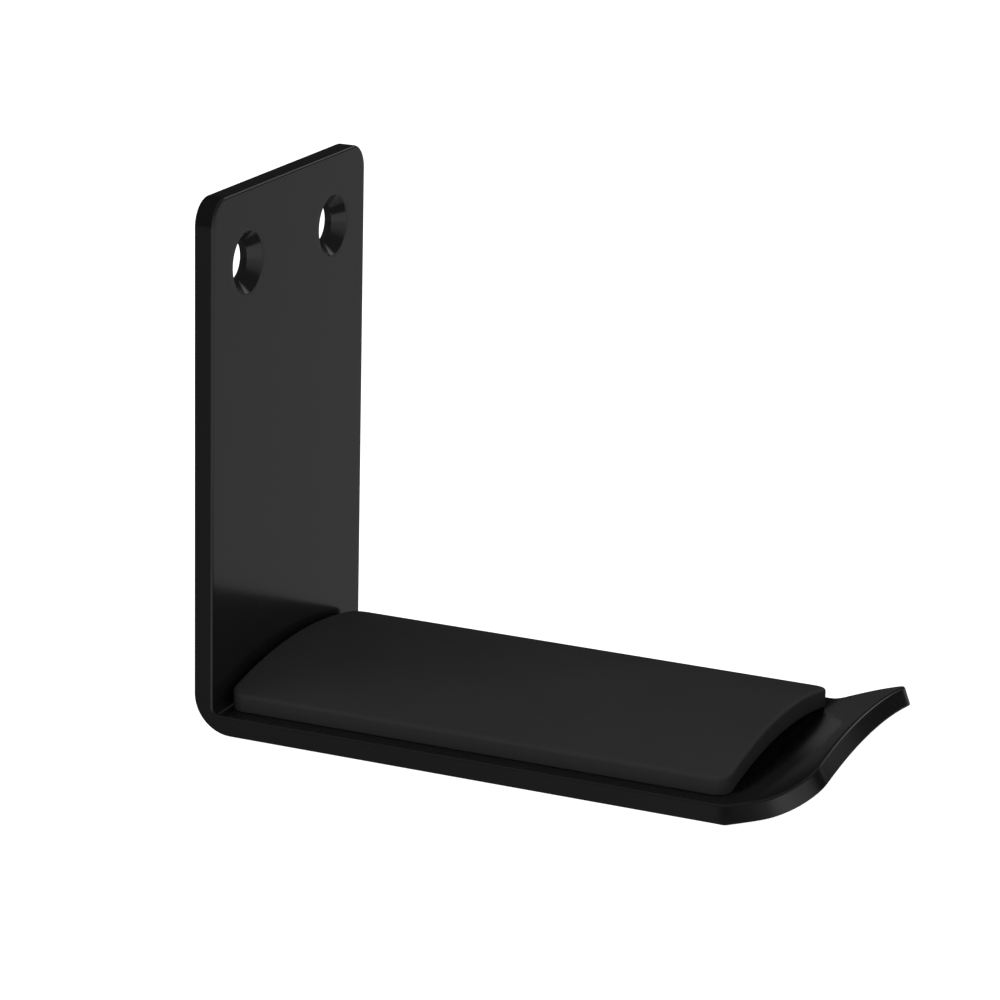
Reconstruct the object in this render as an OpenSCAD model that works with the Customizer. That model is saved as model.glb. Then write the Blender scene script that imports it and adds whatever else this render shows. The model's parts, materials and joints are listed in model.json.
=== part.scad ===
// Headphone hook: a wide steel strip bent to an L and screwed to a wall or a desk side through two
// countersunk holes. The end of its arm turns up into a dished lip that keeps the headband on, and a
// crowned rubber saddle is stuck along the arm with a strip of foam tape.
//
// Frame: the origin is midway between the two screw holes, on the back face that meets the wall.
// +X points away from the wall along the arm, +Y runs across the width, and +Z is up.

/* [Bracket] */
// Width of the strip
strip_w = 50; // [44:1:70]
// Thickness of the strip
strip_t = 3; // [2.5:0.5:4]
// Height of the wall plate, from the underside of the arm
plate_h = 80.5; // [60:0.5:120]
// Distance from the wall to the end of the lip
reach = 96.8; // [80:0.2:130]
// Radius of the wall plate's two top corners
plate_corner_r = 4; // [1:0.5:10]
// Outside radius of the bend between plate and arm
bend_outer_r = 6; // [5:0.5:7]
// Inside radius of the bend between plate and arm
bend_inner_r = 1; // [0.4:0.1:1]

/* [Screw holes] */
// Distance between the two holes
hole_spacing = 28; // [20:1:30]
// Distance from the top of the plate down to the holes
hole_drop = 11; // [10:0.5:20]
// Diameter of the hole behind the countersink
hole_d = 6; // [4:0.5:6]
// Diameter of the countersink at the front face
countersink_d = 9.4; // [8:0.2:9.8]

/* [Lip] */
// Length of the turned-up lip, measured along the arm
lip_l = 12.7; // [10:0.1:16]
// Rise of the lip's underside at its middle
lip_rise = 7.6; // [4:0.1:10]
// How much less the lip would rise at the full width of the strip
lip_droop = 2.8; // [1:0.1:4]
// How far each side of the lip would swell out halfway along it
lip_flare = 0.8; // [0:0.1:1.5]
// Radius of the lip's two corners
lip_corner_r = 7; // [4:0.5:8]

/* [Saddle pad] */
// Width of the pad
pad_w = 44; // [36:1:44]
// Gap between the wall plate and the pad
pad_gap = 1; // [1:0.1:10]
// Gap between the pad and the crease where the lip turns up
pad_end_gap = 0.05; // [0.05:0.05:10]
// Height of the pad's two long edges above the arm
pad_edge_h = 2.7; // [2:0.1:3.5]
// Height of the pad's middle above the arm
pad_crown_h = 5.5; // [4.5:0.1:8]
// Height of the hollow under the middle of the pad
pad_hollow_h = 2.3; // [1.6:0.1:3]
// Width of the foot along each long edge
pad_foot_w = 1.5; // [1:0.1:3]
// Radius of the pad's corners
pad_corner_r = 2.5; // [2:0.5:8]

/* [Foam tape] */
// Width of the tape under the pad
tape_w = 18; // [10:1:20]
// Distance from the tape's ends to the pad's ends
tape_inset = 7; // [4:1:12]

/* [Hidden] */
$fn = 96;
wide_arc_fn = 720;                      // sides of the pad's two wide, shallow arcs
cut = 1;                                // how far a cutting shape runs past what it cuts
arm_z = hole_drop - plate_h;            // underside of the arm
arm_top_z = arm_z + strip_t;
lip_x = reach - lip_l;                  // where the arm turns up
lip_root = 2;                           // flat stretch of the lip, before it turns up
lip_rows = 14;                          // steps of the lip's surface along the arm
lip_cols = 16;                          // steps of the lip's surface across its width
pad_x = strip_t + pad_gap;
pad_l = lip_crease(0)[0] - pad_end_gap - pad_x;

// Radius of the arc that rises by `rise` in the middle of a span.
function arc_r(span, rise) = (pow(span / 2, 2) + pow(rise, 2)) / (2 * rise);

function unit(v) = v / norm(v);

// A corner of radius r that would fill the square from 0 to r, as a shape to cut away.
module corner_cut(r) {
    difference() {
        translate([-cut, -cut]) square(r + cut);
        translate([r, r]) rotate(45) circle(r);
    }
}

// ---- bracket ----

// The strip seen from the side: wall plate, bend and arm, up to where the lip starts.
module side_profile() {
    size = [lip_x - lip_root, plate_h];
    difference() {
        square(size);
        corner_cut(bend_outer_r);
        translate([strip_t, strip_t])
            difference() {
                square(size);
                corner_cut(bend_inner_r);
            }
    }
}

// Rounds the two top corners of the wall plate.
module plate_corners() {
    for (side = [0, 1])
        mirror([0, side, 0])
            translate([-cut, strip_w / 2, hole_drop])
                rotate([90, 180, 90])
                    linear_extrude(strip_t + 2 * cut) corner_cut(plate_corner_r);
}

// A screw hole through the plate, with a 90 degree countersink at the front.
module screw_hole() {
    sink = (countersink_d - hole_d) / 2;
    rotate([0, 90, 0]) {
        translate([0, 0, -cut]) cylinder(d = hole_d, h = strip_t + 2 * cut);
        translate([0, 0, strip_t - sink])
            cylinder(d1 = hole_d, d2 = countersink_d + 2 * cut, h = sink + cut);
    }
}

// The lip is a fan of straight lines from the bend to an arched end. A point of it has a share s of
// the lip's length, from 0 at the bend to 1 at the end, and a distance y from the middle.
function lip_end_rise(y) = lip_rise - lip_droop * pow(2 * y / strip_w, 2);
function lip_under(s, y) = [lip_x + s * lip_l, y, arm_z + s * lip_end_rise(y)];

// The strip's thickness is square to the lip's surface.
function lip_slope_along(y) = lip_end_rise(y) / lip_l;
function lip_slope_across(s, y) = -8 * s * lip_droop * y / pow(strip_w, 2);
function lip_normal(s, y) = unit([-lip_slope_along(y), -lip_slope_across(s, y), 1]);
function lip_upper(s, y) = lip_under(s, y) + strip_t * lip_normal(s, y);

// Where the upper faces of the arm and the lip meet.
function lip_crease(y) = [lip_x - strip_t * tan(atan(lip_slope_along(y)) / 2), y, arm_top_z];

// Half the lip's width: sides that swell out a little, then a round corner at each side of the end.
function corner_inset(d) = lip_corner_r - sqrt(max(0, pow(lip_corner_r, 2) - pow(max(0, d), 2)));
function lip_half_w(s) =
    strip_w / 2 + 4 * lip_flare * s * (1 - s) - corner_inset(s * lip_l - (lip_l - lip_corner_r));

// Rows of points across the lip. They crowd towards the end, where the corners turn fastest.
function row_share(row) = sin(90 * row / lip_rows);
function col_y(s, col) = lip_half_w(s) * (2 * col / lip_cols - 1);
function root_row(z) = [for (col = [0:lip_cols]) [lip_x - lip_root, col_y(0, col), z]];
function under_row(row) =
    let (s = row_share(row)) [for (col = [0:lip_cols]) lip_under(s, col_y(s, col))];
function upper_row(row) =
    let (s = row_share(row))
    [for (col = [0:lip_cols])
        row == 0 ? lip_crease(col_y(s, col)) : lip_upper(s, col_y(s, col))];

// The two triangles of a patch whose corners are given anticlockwise, as seen from outside.
function patch(a, b, c, d) = [[a, c, b], [a, d, c]];

module lip() {
    across = lip_cols + 1;
    layer = across * (lip_rows + 2);
    points = concat(
        root_row(arm_z), [for (row = [0:lip_rows]) each under_row(row)],
        root_row(arm_top_z), [for (row = [0:lip_rows]) each upper_row(row)]);
    faces = concat(
        [for (row = [0:lip_rows], col = [0:lip_cols - 1])
            let (a = row * across + col, b = a + 1, c = b + across, d = a + across)
            each concat(patch(a, b, c, d),
                        patch(layer + d, layer + c, layer + b, layer + a))],
        [for (row = [0:lip_rows])
            let (a = row * across, b = a + across, c = a + lip_cols, d = c + across)
            each concat(patch(a, b, layer + b, layer + a),
                        patch(layer + c, layer + d, d, c))],
        [for (col = [0:lip_cols - 1])
            let (a = col, b = col + 1, c = a + across * (lip_rows + 1), d = c + 1)
            each concat(patch(b, a, layer + a, layer + b),
                        patch(c, d, layer + d, layer + c))]);
    polyhedron(points, faces);
}

module bracket() {
    color("#2b2b2c")
        difference() {
            union() {
                translate([0, 0, arm_z])
                    rotate([90, 0, 0])
                        linear_extrude(strip_w, center = true) side_profile();
                lip();
            }
            plate_corners();
            for (side = [-1, 1])
                translate([0, side * hole_spacing / 2, 0]) screw_hole();
        }
}

// ---- saddle pad ----

// The pad seen from its end: a crowned strip with a shallow arched hollow between its two feet.
module pad_profile() {
    crown_r = arc_r(pad_w, pad_crown_h - pad_edge_h);
    difference() {
        intersection() {
            translate([-pad_w / 2, 0]) square([pad_w, pad_crown_h + cut]);
            translate([0, pad_crown_h - crown_r]) circle(crown_r, $fn = wide_arc_fn);
        }
        hollow_profile();
    }
}

module hollow_profile() {
    hollow_r = arc_r(pad_w - 2 * pad_foot_w, pad_hollow_h);
    translate([0, pad_hollow_h - hollow_r]) circle(hollow_r, $fn = wide_arc_fn);
}

// The pad seen from above, with its four corners rounded.
module pad_outline() {
    difference() {
        translate([0, -pad_w / 2]) square([pad_l, pad_w]);
        for (end = [0, 1], side = [0, 1])
            translate([end * pad_l, (side - 0.5) * pad_w])
                mirror([end, 0]) mirror([0, side]) corner_cut(pad_corner_r);
    }
}

// Sweeps an end view along the arm. It starts at a distance `from` past the pad's near end.
module along_arm(from, length) {
    translate([from, 0, 0])
        rotate([90, 0, 90])
            linear_extrude(length) children();
}

module saddle_pad() {
    color("#262627")
        translate([pad_x, 0, arm_top_z])
            intersection() {
                along_arm(-cut, pad_l + 2 * cut) pad_profile();
                translate([0, 0, -cut])
                    linear_extrude(pad_crown_h + 2 * cut) pad_outline();
            }
}

// ---- foam tape ----

// Double-sided foam tape in the hollow, from the arm up to the underside of the pad.
module foam_tape() {
    color("#58585a")
        translate([pad_x, 0, arm_top_z])
            along_arm(tape_inset, pad_l - 2 * tape_inset)
                intersection() {
                    hollow_profile();
                    translate([-tape_w / 2, 0]) square([tape_w, pad_hollow_h + cut]);
                }
}

bracket();
saddle_pad();
foam_tape();
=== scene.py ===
import json
import math

import bmesh
import bpy
import numpy as np
from mathutils import Matrix, Vector


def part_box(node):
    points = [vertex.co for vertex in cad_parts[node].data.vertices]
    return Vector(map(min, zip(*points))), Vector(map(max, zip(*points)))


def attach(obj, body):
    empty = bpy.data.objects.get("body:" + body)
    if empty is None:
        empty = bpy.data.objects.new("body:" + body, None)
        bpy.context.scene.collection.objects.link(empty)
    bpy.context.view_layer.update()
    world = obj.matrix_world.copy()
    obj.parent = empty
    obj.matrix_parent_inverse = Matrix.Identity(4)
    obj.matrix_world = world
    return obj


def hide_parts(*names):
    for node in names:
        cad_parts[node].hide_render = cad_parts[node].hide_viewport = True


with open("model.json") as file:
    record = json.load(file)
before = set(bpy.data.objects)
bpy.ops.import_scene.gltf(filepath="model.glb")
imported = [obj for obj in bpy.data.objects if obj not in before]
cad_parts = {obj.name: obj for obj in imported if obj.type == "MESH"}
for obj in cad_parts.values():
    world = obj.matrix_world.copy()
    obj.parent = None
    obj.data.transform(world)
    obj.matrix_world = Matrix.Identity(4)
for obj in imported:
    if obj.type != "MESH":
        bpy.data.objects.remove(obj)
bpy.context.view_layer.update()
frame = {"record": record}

# A headphone hook: a bent, black-coated steel strip with a rubber saddle stuck along its arm.
# Lengths are in millimetres. +X runs out along the arm, +Y across the strip and +Z up.
# Each piece starts as a flat sheet with an upper and a lower face, and is then bent into place.

MM = 0.001


def box_mm(node):
    """Lowest and highest corner of a CAD node, in millimetres."""
    low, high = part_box(node)
    return np.array(low) / MM, np.array(high) / MM


BRACKET_LOW, BRACKET_HIGH = box_mm("bracket")
PAD_LOW, PAD_HIGH = box_mm("saddle_pad")
TAPE_LOW, TAPE_HIGH = box_mm("foam_tape")
SCREW_HOLES = next(m for m in frame["record"]["mounts"] if m["name"] == "screw_holes")

# ---- bracket sizes ----
PLATE_TOP = BRACKET_HIGH[2]
ARM_Z = BRACKET_LOW[2]
REACH = BRACKET_HIGH[0]
STRIP_W = 50.0
STRIP_T = PAD_LOW[2] - ARM_Z
EDGE_R = 0.4                    # rounding of the edges of the front and the upper face
BACK_EDGE_R = 0.25              # and of the edges of the back and the underside
PLATE_CORNER_R = 4.0
BEND_OUTER_R = 6.0
BEND_INNER_R = 1.0
LIP_L = 12.7                    # the lip's length, along the arm
LIP_RISE = 7.6                  # rise of its underside at the middle
LIP_DROOP = 2.8                 # how much less it rises at the full width
LIP_FLARE = 0.8                 # how far each side swells out halfway along the lip
LIP_CORNER_R = 7.0
LIP_X = REACH - LIP_L
FLARE_LEAD = 1.5                # half the length over which the swelling sets in
CREASE_UNDER = 0.5              # half the length of the rounded crease in the underside
CREASE_UPPER = 1.3              # and in the upper face
CREASE_TURN = 2.0               # half the length over which the thickness turns square to the lip
HOLE_SPACING = SCREW_HOLES["dims"]["spacing_x_mm"]
HOLE_R = SCREW_HOLES["dims"]["hole_r_mm"]
COUNTERSINK_R = 4.7
HOLE_EDGE_R = 0.25
CONE_EDGE_SHARE = 0.6                 # how much of the edges' painted highlight and duller gloss the countersinks have

# Places along the flat strip, measured from the top of the plate.
BEND_ZONE = 8.0                 # the bend lies within this distance of the outer corner
BEND_LEAD = 2.0                 # the stretch on each side of the bend that stays straight
BEND_TURN = 8.0                 # and the stretch between them, which turns
HOLE_ALONG = PLATE_TOP
PLATE_END = PLATE_TOP - ARM_Z - BEND_ZONE
ARM_START = PLATE_END + 2 * BEND_LEAD + BEND_TURN
LIP_START = ARM_START + LIP_X - BEND_ZONE
STRIP_END = LIP_START + LIP_L

# ---- saddle pad sizes ----
PAD_W = PAD_HIGH[1] - PAD_LOW[1]
PAD_L = PAD_HIGH[0] - PAD_LOW[0]
PAD_CROWN = PAD_HIGH[2] - PAD_LOW[2]
PAD_EDGE = 2.7
PAD_CORNER_R = 2.5
PAD_FOOT = 1.5                  # width of the foot along each long edge
PAD_EDGE_R = 0.55               # rounding of the edges of the upper face
PAD_FOOT_R = 0.2                # and of the edges of the feet
HOLLOW = TAPE_HIGH[2] - TAPE_LOW[2]

# ---- foam tape sizes ----
TAPE_W = TAPE_HIGH[1] - TAPE_LOW[1]
TAPE_L = TAPE_HIGH[0] - TAPE_LOW[0]
TAPE_CORNER_R = 0.6
TAPE_EDGE_R = 0.15
TAPE_GAP = 0.02                 # keeps the tape's faces just off the arm and the pad

# ---- how finely the meshes are divided ----
EDGE_STEPS = 5                  # steps round the edge of a face
TAPE_EDGE_STEPS = 3
CORNER_STEPS = 14               # steps round a corner of the outline
PAD_CORNER_STEPS = 12
TAPE_CORNER_STEPS = 4
HOLE_PATCH = 6.2                # half the side of the square of mesh that holds a hole
PATCH_STEPS = 24                # steps along a side of that square
OUTER_STEPS = 4                 # steps across the strip from its long edge to a hole's square
MIDDLE_STEPS = 14               # and between the two squares
PLATE_STEPS = 12                # steps along the strip
LEAD_STEPS = 2
BEND_STEPS = 20
ARM_STEPS = 16
CREASE_STEPS = 24
LIP_STEPS = 5
CONE_EDGE_STEPS = 4             # steps round the edge of a countersink or a hole
RING_GAP = 0.6                  # distance from a countersink to the mesh's first ring round it
RING_BLEND = 0.6                # 0 gives that ring the shape of the square, and 1 makes it round
PAD_ROWS = 31                   # rows of points between the pad's corners, and columns across it
PAD_COLUMNS = 61
TAPE_ROWS = 41                  # and the same for the tape
TAPE_COLUMNS = 19

# How strongly large faces keep their flat shading next to a rounding, up to 100.
FLAT_FACE_WEIGHT = 100

UPPER = 1
LOWER = 0


# ---- mesh building ----

def quarter(steps):
    """Angles from 0 to a right angle."""
    return np.linspace(0, math.pi / 2, steps + 1)


def sheet_rows(length, width, start_r, end_r, stations, steps):
    """The outline of a flat sheet as rows: place along it, half width, and the outline's normal."""
    half = width / 2
    rows = []
    for t in quarter(steps):
        across = half - start_r * (1 - math.sin(t))
        rows.append((start_r * (1 - math.cos(t)), across, -math.cos(t), math.sin(t)))
    rows += [(along, half, 0.0, 1.0) for along in stations]
    for t in quarter(steps)[::-1]:
        across = half - end_r * (1 - math.sin(t))
        rows.append((length - end_r * (1 - math.cos(t)), across, math.cos(t), math.sin(t)))
    return np.array(rows)


def sheet_grid(rows, columns, inset):
    """Points of the sheet, drawn in from its outline by `inset`: two arrays, along and across."""
    along = rows[:, 0] - rows[:, 2] * inset
    half = rows[:, 1] - rows[:, 3] * inset
    return np.repeat(along[:, None], len(columns), 1), half[:, None] * columns[None, :]


def rim_order(row_count, column_count):
    """Row and column of each point of a grid's rim, in order."""
    last_row = row_count - 1
    last_column = column_count - 1
    rim = [(0, c) for c in range(column_count)]
    rim += [(r, last_column) for r in range(1, row_count)]
    rim += [(last_row, c) for c in range(last_column - 1, -1, -1)]
    rim += [(r, 0) for r in range(last_row - 1, 0, -1)]
    return np.array(rim).T


class Builder:
    """Collects points and faces. A point's `edge` is 0 on a flat face and 1 halfway round an edge."""

    def __init__(self):
        self.points = []
        self.edge = []
        self.faces = []

    def add(self, points, edge=0.0):
        points = np.asarray(points, float).reshape(-1, 3)
        first = len(self.points)
        self.points.extend(points)
        self.edge.extend([edge] * len(points))
        return np.arange(first, first + len(points))

    def grid(self, index, skip=()):
        for r in range(index.shape[0] - 1):
            for c in range(index.shape[1] - 1):
                if not any(r0 <= r < r1 and c0 <= c < c1 for r0, r1, c0, c1 in skip):
                    self.faces.append((index[r, c], index[r, c + 1],
                                       index[r + 1, c + 1], index[r + 1, c]))

    def tube(self, rings):
        for near, far in zip(rings, rings[1:]):
            for k in range(len(near)):
                n = (k + 1) % len(near)
                self.faces.append((near[k], near[n], far[n], far[k]))

    def make(self, name, material, node):
        mesh = bpy.data.meshes.new(name)
        mesh.from_pydata([tuple(p * MM) for p in self.points], [], self.faces)
        mesh.attributes.new("edge", "FLOAT", "POINT").data.foreach_set("value", self.edge)
        work = bmesh.new()
        work.from_mesh(mesh)
        bmesh.ops.delete(work, geom=[v for v in work.verts if not v.link_faces], context="VERTS")
        bmesh.ops.recalc_face_normals(work, faces=work.faces)
        if any(len(e.link_faces) != 2 for e in work.edges):
            raise RuntimeError(f"{name} is not a closed mesh")
        work.to_mesh(mesh)
        work.free()
        mesh.shade_smooth()
        piece = bpy.data.objects.new(name, mesh)
        bpy.context.scene.collection.objects.link(piece)
        normals = piece.modifiers.new("flat_faces_stay_flat", "WEIGHTED_NORMAL")
        normals.weight = FLAT_FACE_WEIGHT
        mesh.materials.append(material)
        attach(piece, "root")
        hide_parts(node)
        return piece


def edge_loops(upper_r, lower_r, steps):
    """A sheet's side, from its upper to its lower face: (face, depth below it, inset, edge)."""
    loops = [(UPPER, upper_r * (1 - math.cos(t)), upper_r * (1 - math.sin(t)), math.sin(2 * t))
             for t in quarter(steps)[1:]]
    loops += [(LOWER, lower_r * (1 - math.cos(t)), lower_r * (1 - math.sin(t)), math.sin(2 * t))
              for t in quarter(steps)[:0:-1]]
    return loops


def build_sheet(build, rows, columns, place, upper_r, lower_r, steps=EDGE_STEPS, holes=()):
    """A closed sheet with rounded edges. `place` turns (along, across, face, depth) into points."""
    shape = (len(rows), len(columns))
    upper_along, upper_across = sheet_grid(rows, columns, upper_r)
    lower_along, lower_across = sheet_grid(rows, columns, lower_r)
    upper = build.add(place(upper_along.ravel(), upper_across.ravel(), UPPER, 0)).reshape(shape)
    lower = build.add(place(lower_along.ravel(), lower_across.ravel(), LOWER, 0)).reshape(shape)
    patches = [h["patch"] for h in holes]
    build.grid(upper, patches)
    build.grid(lower, patches)

    rim = tuple(rim_order(*shape))
    rings = [upper[rim]]
    for face, depth, inset, edge in edge_loops(upper_r, lower_r, steps):
        along, across = sheet_grid(rows, columns, inset)
        rings.append(build.add(place(along[rim], across[rim], face, depth), edge))
    build.tube(rings + [lower[rim]])

    for hole in holes:
        r0, r1, c0, c1 = hole["patch"]
        rim = tuple(rim_order(r1 - r0 + 1, c1 - c0 + 1) + np.array([[r0], [c0]]))
        square = np.stack([upper_along[rim], upper_across[rim]])
        rings = [upper[rim]]
        for radius, face, depth, blend, edge in hole["rings"]:
            circle = hole_circle(hole["centre"], radius, len(rim[0]))
            ring = square * (1 - blend) + circle * blend
            rings.append(build.add(place(ring[0], ring[1], face, depth), edge))
        build.tube(rings + [lower[rim]])


def hole_circle(centre, radius, count):
    """Points of a circle that match a square's rim, which starts at the square's lowest corner."""
    turn = -3 * math.pi / 4 - 2 * math.pi * np.arange(count) / count
    return np.stack([centre[0] + radius * np.cos(turn), centre[1] + radius * np.sin(turn)])


# ---- bracket ----

def soft_step(x, half):
    """Goes from 0 at -half to 1 at +half."""
    t = np.clip((x + half) / (2 * half), 0, 1)
    return t * t * (3 - 2 * t)


def soft_corner(x, half):
    """0 before a corner and x after it, with a rounded turn between -half and +half."""
    return np.where(x < -half, 0, np.where(x > half, x, (x + half) ** 2 / (4 * half)))


def lip_slope(across):
    return (LIP_RISE - LIP_DROOP * (2 * across / STRIP_W) ** 2) / LIP_L


def lip_under(past, across):
    """A point of the lip's underside, at a distance past the place where the arm turns up."""
    height = lip_slope(across) * soft_corner(past, CREASE_UNDER)
    return np.stack([LIP_X + past, across, ARM_Z + height], 1)


def lip_upper(past, across):
    """The matching point of the lip's upper face, one strip thickness away."""
    slope = lip_slope(across)
    angle = np.arctan(slope)
    mitre = STRIP_T * np.tan(angle / 2)
    crease = np.stack([LIP_X - mitre, across, np.full_like(across, ARM_Z + STRIP_T)], 1)
    droop_slope = 8 * LIP_DROOP * across / STRIP_W ** 2
    normal = np.stack([-slope, droop_slope, np.ones_like(slope)], 1)
    normal /= np.linalg.norm(normal, axis=1)[:, None]
    end = np.stack([np.full_like(across, REACH), across, ARM_Z + slope * LIP_L], 1) + STRIP_T * normal
    run = end - crease
    past_crease = past + mitre - STRIP_T * np.sin(angle) * soft_step(past, CREASE_TURN)
    up = soft_corner(past_crease, CREASE_UPPER)
    still_flat = np.stack([past_crease - up, 0 * up, 0 * up], 1)
    return crease + run * (up / run[:, 0])[:, None] + still_flat


def bent_face(along, across, offset, bend_r):
    """A face of the plate, the bend and the arm. `offset` is the face's distance from the outer one."""
    into = along - PLATE_END
    angle = np.clip((into - BEND_LEAD) / BEND_TURN, 0, 1) * math.pi / 2
    lead_in = np.clip(into / BEND_LEAD, 0, 1)
    lead_out = np.clip((into - BEND_LEAD - BEND_TURN) / BEND_LEAD, 0, 1)
    spare = BEND_ZONE - offset - bend_r
    on_arm = np.maximum(0, along - ARM_START)
    on_plate = np.maximum(0, PLATE_END - along)
    x = offset + bend_r * (1 - np.cos(angle)) + spare * lead_out + on_arm
    z = offset + bend_r * (1 - np.sin(angle)) + spare * (1 - lead_in) + on_plate
    return np.stack([x, across, ARM_Z + z], 1)


def lip_swell(past):
    """How many times wider than the strip the lip is."""
    share = np.clip(soft_corner(past, FLARE_LEAD) / LIP_L, 0, 1)
    return 1 + 4 * share * (1 - share) * LIP_FLARE / (STRIP_W / 2)


def place_bracket(along, across, face, depth):
    """Bends the flat strip. Its lower face becomes the back of the plate and the arm's underside."""
    past = along - LIP_START
    across = across * lip_swell(past)
    on_lip = (past > -CREASE_TURN)[:, None]
    lower = np.where(on_lip, lip_under(past, across), bent_face(along, across, 0, BEND_OUTER_R))
    upper = np.where(on_lip, lip_upper(past, across), bent_face(along, across, STRIP_T, BEND_INNER_R))
    share = depth / STRIP_T
    return lower + (upper - lower) * (1 - share if face == UPPER else share)


def hole_rings():
    """A countersunk hole from the front face to the back: (radius, face, depth, blend, edge)."""
    lean = math.pi / 4                          # of the cone's side, for a 90 degree countersink
    reach = HOLE_EDGE_R * math.tan(lean / 2)
    cone_foot = COUNTERSINK_R - HOLE_R + reach - reach * math.sin(lean)
    rings = [(COUNTERSINK_R + RING_GAP, UPPER, 0, RING_BLEND, 0.0)]
    for t in np.linspace(0, lean, CONE_EDGE_STEPS + 1):
        radius = COUNTERSINK_R + reach - HOLE_EDGE_R * math.sin(t)
        rings.append((radius, UPPER, HOLE_EDGE_R * (1 - math.cos(t)), 1, CONE_EDGE_SHARE))
    for t in np.linspace(lean, 2 * lean, CONE_EDGE_STEPS + 1):
        radius = HOLE_R + HOLE_EDGE_R * (1 - math.sin(t))
        depth = cone_foot + HOLE_EDGE_R * (math.cos(lean) - math.cos(t))
        rings.append((radius, UPPER, depth, 1, CONE_EDGE_SHARE))
    for t in quarter(CONE_EDGE_STEPS)[::-1]:
        radius = HOLE_R + HOLE_EDGE_R * (1 - math.sin(t))
        rings.append((radius, LOWER, HOLE_EDGE_R * (1 - math.cos(t)), 1, 1.0))
    rings.append((COUNTERSINK_R, LOWER, 0, RING_BLEND, 0.0))
    return rings


def stretches(stops):
    """Even steps over each stretch (from, to, steps), without the end of the last one."""
    return np.concatenate([np.linspace(a, b, steps + 1)[:-1] for a, b, steps in stops])


def bracket_columns():
    """Places across the strip as shares of its half width, and where each hole's square starts."""
    inner = HOLE_SPACING / 2 - HOLE_PATCH
    outer = HOLE_SPACING / 2 + HOLE_PATCH
    full = STRIP_W / 2 - EDGE_R
    across = stretches([(-full, -outer, OUTER_STEPS), (-outer, -inner, PATCH_STEPS),
                        (-inner, inner, MIDDLE_STEPS), (inner, outer, PATCH_STEPS),
                        (outer, full, OUTER_STEPS)])
    first_columns = (OUTER_STEPS, OUTER_STEPS + PATCH_STEPS + MIDDLE_STEPS)
    return np.append(across, full) / full, first_columns


def bracket_stations():
    """Places along the strip, closer together at the holes, the bend and the crease."""
    return stretches([(HOLE_ALONG - HOLE_PATCH, HOLE_ALONG + HOLE_PATCH, PATCH_STEPS),
                      (HOLE_ALONG + HOLE_PATCH, PLATE_END, PLATE_STEPS),
                      (PLATE_END, PLATE_END + BEND_LEAD, LEAD_STEPS),
                      (PLATE_END + BEND_LEAD, ARM_START - BEND_LEAD, BEND_STEPS),
                      (ARM_START - BEND_LEAD, ARM_START, LEAD_STEPS),
                      (ARM_START, LIP_START - CREASE_TURN, ARM_STEPS),
                      (LIP_START - CREASE_TURN, LIP_START + CREASE_TURN, CREASE_STEPS),
                      (LIP_START + CREASE_TURN, STRIP_END - LIP_CORNER_R, LIP_STEPS)])


def make_bracket(material):
    stations = bracket_stations()
    rows = sheet_rows(STRIP_END, STRIP_W, PLATE_CORNER_R, LIP_CORNER_R, stations, CORNER_STEPS)
    columns, first_columns = bracket_columns()
    first_row = CORNER_STEPS + 1
    holes = [{"centre": (HOLE_ALONG, side * HOLE_SPACING / 2), "rings": hole_rings(),
              "patch": (first_row, first_row + PATCH_STEPS, column, column + PATCH_STEPS)}
             for side, column in zip((-1, 1), first_columns)]
    build = Builder()
    build_sheet(build, rows, columns, place_bracket, EDGE_R, BACK_EDGE_R, holes=holes)
    return build.make("hook_bracket", material, "bracket")


# ---- saddle pad ----

def arch(across, span, rise):
    """Height of a shallow arch over `span` that rises to `rise` in the middle, and 0 beyond it."""
    radius = ((span / 2) ** 2 + rise ** 2) / (2 * rise)
    inside = np.maximum(0, radius ** 2 - np.minimum(np.abs(across), span / 2) ** 2)
    return rise - radius + np.sqrt(inside)


def place_pad(along, across, face, depth):
    if face == UPPER:
        z = PAD_EDGE + arch(across, PAD_W, PAD_CROWN - PAD_EDGE) - depth
    else:
        z = arch(across, PAD_W - 2 * PAD_FOOT, HOLLOW) + depth
    return np.stack([PAD_LOW[0] + along, across, PAD_LOW[2] + z], 1)


def make_pad(material):
    columns = np.linspace(-1, 1, PAD_COLUMNS)
    stations = np.linspace(PAD_CORNER_R, PAD_L - PAD_CORNER_R, PAD_ROWS)[1:-1]
    rows = sheet_rows(PAD_L, PAD_W, PAD_CORNER_R, PAD_CORNER_R, stations, PAD_CORNER_STEPS)
    build = Builder()
    build_sheet(build, rows, columns, place_pad, PAD_EDGE_R, PAD_FOOT_R)
    return build.make("rubber_saddle", material, "saddle_pad")


# ---- foam tape ----

def place_tape(along, across, face, depth):
    if face == UPPER:
        z = arch(across, PAD_W - 2 * PAD_FOOT, HOLLOW) - TAPE_GAP - depth
    else:
        z = np.full_like(across, TAPE_GAP) + depth
    return np.stack([TAPE_LOW[0] + along, across, TAPE_LOW[2] + z], 1)


def make_tape(material):
    columns = np.linspace(-1, 1, TAPE_COLUMNS)
    stations = np.linspace(TAPE_CORNER_R, TAPE_L - TAPE_CORNER_R, TAPE_ROWS)[1:-1]
    rows = sheet_rows(TAPE_L, TAPE_W, TAPE_CORNER_R, TAPE_CORNER_R, stations, TAPE_CORNER_STEPS)
    build = Builder()
    build_sheet(build, rows, columns, place_tape, TAPE_EDGE_R, TAPE_EDGE_R, TAPE_EDGE_STEPS)
    return build.make("mounting_foam", material, "foam_tape")


# ---- materials ----
# Shades, roughnesses and the strengths of light have no unit. Pairs are a lowest and a highest value.

NOISE_LOW = 0.25                # nearly all of a noise lies between these two
NOISE_HIGH = 0.75

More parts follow.
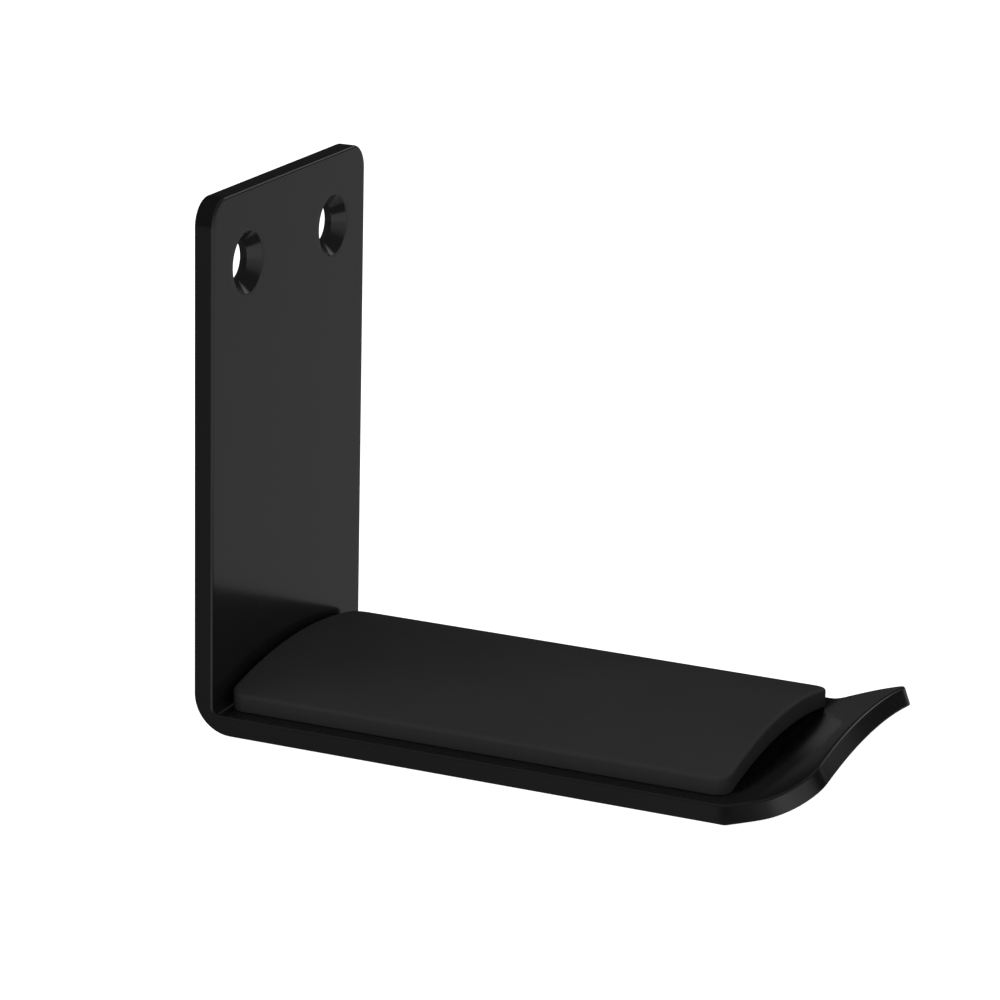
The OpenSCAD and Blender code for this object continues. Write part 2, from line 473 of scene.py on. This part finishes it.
CLOUD_SIZE = 9.0                # the coating's slow change of shade and gloss
PEEL_SIZE = 0.7                 # its orange peel
FINE_SIZE = 0.12                # and its fine grain
COATING_SHADE = (0.0135, 0.0155)
COATING_EDGE_HIGHLIGHT = 0.018      # painted highlight: how much lighter the coating is made on an edge
COATING_ROUGHNESS = (0.135, 0.155)
COATING_FINE_ROUGHNESS = 0.03
COATING_FINE_BUMP = 0.25        # height of the fine grain as a share of the orange peel's
COATING_BUMP = 0.0012
COATING_SPECULAR = 0.5
COATING_EDGE_SPECULAR = -0.2    # how this changes on an edge, which is duller

BLOOM_SIZE = 14.0               # the rubber's slow change of shade and gloss
STIPPLE_SIZE = 0.25
STIPPLE_ROUGHNESS = 0.6
RUBBER_SHADE = (0.058, 0.064)
# Painted highlight: how much lighter the rubber is made on an edge.
RUBBER_EDGE_HIGHLIGHT = 0.003
RUBBER_ROUGHNESS = (0.58, 0.66)
RUBBER_BUMP = 0.012
RUBBER_SPECULAR = 0.2

# Painted reflection: light painted on the pad's outer end that only reflections see, so the lip shows
# it as it mirrors it.
PAINTED_END_REFLECTION = 0.45
END_FACING = (0.5, 0.9)         # how squarely a face has to look outward
END_FAR_HALF = (-2.0, 12.0)     # where across the pad the painted reflection sets in

CELL_SIZE = 0.35                # the foam's cells
CELL_WALL_SHADE = 0.13
CELL_SHADE = 0.07
CELL_MIDDLE = 0.4               # the noise's value at the middle of a cell
FOAM_BUMP = 0.1
FOAM_ROUGHNESS = 0.85


def node(tree, kind, inputs=None, **settings):
    """Adds a node. An input is either another node's output or a plain value."""
    made = tree.nodes.new(kind)
    for key, value in settings.items():
        setattr(made, key, value)
    for key, value in (inputs or {}).items():
        if isinstance(value, bpy.types.NodeSocket):
            tree.links.new(value, made.inputs[key])
        else:
            made.inputs[key].default_value = value
    return made


def new_material(name):
    material = bpy.data.materials.new(name)
    material.use_nodes = True
    tree = material.node_tree
    return material, tree, tree.nodes["Principled BSDF"]


def grain(tree, place, size_mm, detail=2.0, rough=0.5):
    """Noise whose features are about `size_mm` across."""
    scale = 1 / (size_mm * MM)
    return node(tree, "ShaderNodeTexNoise",
                {"Vector": place, "Scale": scale, "Detail": detail, "Roughness": rough}).outputs["Fac"]


def ramp(tree, value, source, result, shape="LINEAR"):
    """Turns a value between the two of `source` into one between the two of `result`."""
    return node(tree, "ShaderNodeMapRange",
                {"Value": value, "From Min": source[0], "From Max": source[1],
                 "To Min": result[0], "To Max": result[1]}, interpolation_type=shape).outputs["Result"]


def spread(tree, noise, result):
    """Turns a noise into a value between the two of `result`."""
    return ramp(tree, noise, (NOISE_LOW, NOISE_HIGH), result)


def grey(tree, value):
    return node(tree, "ShaderNodeCombineColor",
                {"Red": value, "Green": value, "Blue": value}).outputs["Color"]


def add(tree, a, b):
    return node(tree, "ShaderNodeMath", {0: a, 1: b}, operation="ADD").outputs["Value"]


def times(tree, a, b):
    return node(tree, "ShaderNodeMath", {0: a, 1: b}, operation="MULTIPLY").outputs["Value"]


def bump(tree, height, depth_mm):
    return node(tree, "ShaderNodeBump",
                {"Height": height, "Distance": depth_mm * MM, "Strength": 1.0}).outputs["Normal"]


def by_ray(tree, seen, mirrored, otherwise):
    """A value that depends on whether the camera, a reflection or anything else looks at it."""
    path = node(tree, "ShaderNodeLightPath").outputs
    unseen = node(tree, "ShaderNodeMix",
                  {"Factor": path["Is Glossy Ray"], "A": otherwise, "B": mirrored}).outputs["Result"]
    return node(tree, "ShaderNodeMix",
                {"Factor": path["Is Camera Ray"], "A": unseen, "B": seen}).outputs["Result"]


def coating_material():
    """Satin powder coat: a faint orange-peel surface, duller on its edges, which carry a painted
    highlight that makes them a little lighter.
    """
    material, tree, shader = new_material("black_coating")
    place = node(tree, "ShaderNodeTexCoord").outputs["Object"]
    edge = node(tree, "ShaderNodeAttribute", attribute_name="edge").outputs["Fac"]
    cloud = grain(tree, place, CLOUD_SIZE, detail=3.0)
    peel = grain(tree, place, PEEL_SIZE)
    fine = grain(tree, place, FINE_SIZE, detail=1.0)
    # Painted highlight: the coating is made lighter where a rounding turns, on the edges and in part on
    # the countersinks.
    shade = add(tree, spread(tree, cloud, COATING_SHADE), times(tree, edge, COATING_EDGE_HIGHLIGHT))
    rough = add(tree, spread(tree, cloud, COATING_ROUGHNESS), times(tree, fine, COATING_FINE_ROUGHNESS))
    height = add(tree, peel, times(tree, fine, COATING_FINE_BUMP))
    specular = add(tree, times(tree, edge, COATING_EDGE_SPECULAR), COATING_SPECULAR)
    tree.links.new(grey(tree, shade), shader.inputs["Base Color"])
    tree.links.new(rough, shader.inputs["Roughness"])
    tree.links.new(bump(tree, height, COATING_BUMP), shader.inputs["Normal"])
    tree.links.new(specular, shader.inputs["Specular IOR Level"])
    return material


def painted_end_reflection(tree, place):
    """Painted reflection: how much lighter the far half of the pad's outer end is made, in reflections
    only.
    """
    normal = node(tree, "ShaderNodeNewGeometry").outputs["Normal"]
    facing = node(tree, "ShaderNodeSeparateXYZ", {0: normal}).outputs["X"]
    across = node(tree, "ShaderNodeSeparateXYZ", {0: place}).outputs["Y"]
    far_half = [y * MM for y in END_FAR_HALF]
    return times(tree, ramp(tree, facing, END_FACING, (0.0, PAINTED_END_REFLECTION)),
                 ramp(tree, across, far_half, (0.0, 1.0), "SMOOTHSTEP"))


def rubber_material():
    """Matte moulded rubber with a fine even stipple and a slight bloom."""
    material, tree, shader = new_material("black_rubber")
    place = node(tree, "ShaderNodeTexCoord").outputs["Object"]
    edge = node(tree, "ShaderNodeAttribute", attribute_name="edge").outputs["Fac"]
    bloom = grain(tree, place, BLOOM_SIZE, detail=3.0)
    stipple = grain(tree, place, STIPPLE_SIZE, rough=STIPPLE_ROUGHNESS)
    # Painted highlight: the rubber is made a little lighter where a rounding turns.
    shade = add(tree, spread(tree, bloom, RUBBER_SHADE), times(tree, edge, RUBBER_EDGE_HIGHLIGHT))
    # Reflections see the pad with the painted reflection added to its outer end.
    mirrored = add(tree, shade, painted_end_reflection(tree, place))
    tree.links.new(grey(tree, by_ray(tree, shade, mirrored, shade)), shader.inputs["Base Color"])
    tree.links.new(spread(tree, bloom, RUBBER_ROUGHNESS), shader.inputs["Roughness"])
    tree.links.new(bump(tree, stipple, RUBBER_BUMP), shader.inputs["Normal"])
    shader.inputs["Specular IOR Level"].default_value = RUBBER_SPECULAR
    return material


def foam_material():
    """Closed-cell foam: small round cells between thin walls."""
    material, tree, shader = new_material("grey_foam")
    place = node(tree, "ShaderNodeTexCoord").outputs["Object"]
    cells = node(tree, "ShaderNodeTexVoronoi", {"Vector": place, "Scale": 1 / (CELL_SIZE * MM)},
                 feature="DISTANCE_TO_EDGE").outputs["Distance"]
    shade = ramp(tree, cells, (0.0, CELL_MIDDLE), (CELL_WALL_SHADE, CELL_SHADE))
    tree.links.new(grey(tree, shade), shader.inputs["Base Color"])
    tree.links.new(bump(tree, times(tree, cells, -1.0), FOAM_BUMP), shader.inputs["Normal"])
    shader.inputs["Roughness"].default_value = FOAM_ROUGHNESS
    return material


# ---- floor, light and camera ----

WORLD_SEEN = 1.0                # brightness of the surroundings as the camera sees them
WORLD_LIT = 0.33                # and as they light the object
WORLD_MIRRORED = 0.008          # and in its reflections
FLOOR_SIDE = 40.0               # metres, far past the edge of the view
FLOOR_BELOW = 0.02              # gap under the hook
FLOOR_GLOW = 1.0                # brightness of the floor as the camera sees it
FLOOR_MIRRORED = 0.28           # and at its brightest in reflections
FLOOR_SHADE = 0.85

# In reflections the floor is brighter on one side and fades out towards the horizon. Each pair is how
# far a reflected ray leans that way, from -1 to 1, where the floor starts and stops getting brighter.
FLOOR_BRIGHT_SIDE = (1.0, -0.2, 0.0)
FLOOR_SIDE_RISE = (-0.75, 0.25)
DOWN = (0.0, 0.0, -1.0)
HORIZON_RISE = (0.03, 0.15)

# Soft patches of light that only reflections see: direction, the angles in degrees from it within
# which it is full and beyond which it is gone, and brightness.
CARDS = [((0.29, 0.88, 0.38), 6, 15, 0.9),
         ((0.57, 0.80, 0.18), 2, 10, 0.27),
         ((-0.52, 0.85, 0.0), 4, 15, 0.05),
         ((0.88, -0.38, -0.29), 10, 60, 0.65)]

# Square lights: name, direction from the hook, side and brightness.
LIGHTS = [("overhead", (-0.55, -0.25, 0.8), 0.5, 1.0),
          ("front", (1.0, -0.3, 0.25), 0.4, 0.9)]
LIGHT_DISTANCE = 0.9            # metres, as are the lights' sides


def ramp_toward(tree, toward, rise, brightness):
    """Rises smoothly to `brightness` as the reflected ray turns toward a direction."""
    from_ray = node(tree, "ShaderNodeNewGeometry").outputs["Incoming"]
    lean = node(tree, "ShaderNodeVectorMath", {0: from_ray, 1: -Vector(toward)},
                operation="DOT_PRODUCT").outputs["Value"]
    return ramp(tree, lean, rise, (0.0, brightness), "SMOOTHSTEP")


def cards_in(tree, level):
    """Adds the cards to a brightness."""
    for toward, full, gone, brightness in CARDS:
        rise = (math.cos(math.radians(gone)), math.cos(math.radians(full)))
        level = add(tree, level, ramp_toward(tree, Vector(toward).normalized(), rise, brightness))
    return level


def make_world():
    world = bpy.data.worlds.new("soft_studio")
    bpy.context.scene.world = world
    world.use_nodes = True
    world.cycles.sampling_method = "NONE"       # keeps WORLD_LIT out of the reflections
    tree = world.node_tree
    background = tree.nodes["Background"]
    background.inputs["Color"].default_value = (1, 1, 1, 1)
    tree.links.new(by_ray(tree, WORLD_SEEN, cards_in(tree, WORLD_MIRRORED), WORLD_LIT),
                   background.inputs["Strength"])


def floor_material():
    """White to the camera whatever falls on it, and dimmer in reflections."""
    material, tree, shader = new_material("pale_floor")
    shader.inputs["Roughness"].default_value = 1.0
    shader.inputs["Specular IOR Level"].default_value = 0.0
    shader.inputs["Emission Color"].default_value = (1, 1, 1, 1)
    tree.links.new(grey(tree, by_ray(tree, FLOOR_SHADE, 0.0, FLOOR_SHADE)), shader.inputs["Base Color"])
    sideways = ramp_toward(tree, FLOOR_BRIGHT_SIDE, FLOOR_SIDE_RISE, FLOOR_MIRRORED)
    downward = ramp_toward(tree, DOWN, HORIZON_RISE, 1.0)
    mirrored = cards_in(tree, times(tree, sideways, downward))
    tree.links.new(by_ray(tree, FLOOR_GLOW, mirrored, 0.0), shader.inputs["Emission Strength"])
    material.cycles.emission_sampling = "NONE"
    return material


def make_floor():
    half = FLOOR_SIDE / 2
    z = (ARM_Z - FLOOR_BELOW) * MM
    corners = [(-half, -half, z), (half, -half, z), (half, half, z), (-half, half, z)]
    mesh = bpy.data.meshes.new("floor")
    mesh.from_pydata(corners, [], [(0, 1, 2, 3)])
    mesh.materials.append(floor_material())
    floor = bpy.data.objects.new("floor", mesh)
    bpy.context.scene.collection.objects.link(floor)


def make_light(name, toward, side, brightness):
    """A soft square light that hangs in the direction `toward` from the hook and faces it."""
    middle = Vector((REACH / 2, 0, (PLATE_TOP + ARM_Z) / 2)) * MM
    direction = Vector(toward).normalized()
    data = bpy.data.lights.new(name, "AREA")
    data.shape = "SQUARE"
    data.size = side
    data.energy = brightness * math.pi * side ** 2
    light = bpy.data.objects.new(name, data)
    light.location = middle + direction * LIGHT_DISTANCE
    light.rotation_mode = "QUATERNION"
    light.rotation_quaternion = direction.to_track_quat("Z", "Y")
    light.visible_glossy = False
    bpy.context.scene.collection.objects.link(light)


# The camera looks down a little, from the lip's end of the near side.
CAMERA_TURN = math.radians(23.43)
CAMERA_ABOVE = math.radians(16.78)
CAMERA_ROLL = math.radians(1.36)
CAMERA_DISTANCE = 602.24
CAMERA_AIM_RIGHT = 35.36        # the aim, in the view's own directions, from the foot of the back face
CAMERA_AIM_UP = 27.90
CAMERA_LENS = 140.59
CAMERA_SENSOR = 36.0


def make_camera():
    back = Vector((math.sin(CAMERA_TURN) * math.cos(CAMERA_ABOVE),
                   -math.cos(CAMERA_TURN) * math.cos(CAMERA_ABOVE), math.sin(CAMERA_ABOVE)))
    level = Vector((math.cos(CAMERA_TURN), math.sin(CAMERA_TURN), 0))
    upright = back.cross(level)
    right = math.cos(CAMERA_ROLL) * level + math.sin(CAMERA_ROLL) * upright
    up = back.cross(right)
    foot = Vector((0, 0, ARM_Z))
    place = foot + CAMERA_AIM_RIGHT * right + CAMERA_AIM_UP * up + CAMERA_DISTANCE * back
    data = bpy.data.cameras.new("camera")
    data.lens = CAMERA_LENS
    data.sensor_width = CAMERA_SENSOR
    camera = bpy.data.objects.new("camera", data)
    axes = Matrix((right, up, back)).transposed().to_4x4()
    camera.matrix_world = Matrix.Translation(place * MM) @ axes
    bpy.context.scene.collection.objects.link(camera)
    bpy.context.scene.camera = camera


make_bracket(coating_material())
make_pad(rubber_material())
make_tape(foam_material())
make_world()
make_floor()
for light_values in LIGHTS:
    make_light(*light_values)
make_camera()
bpy.context.scene.view_settings.view_transform = "Standard"
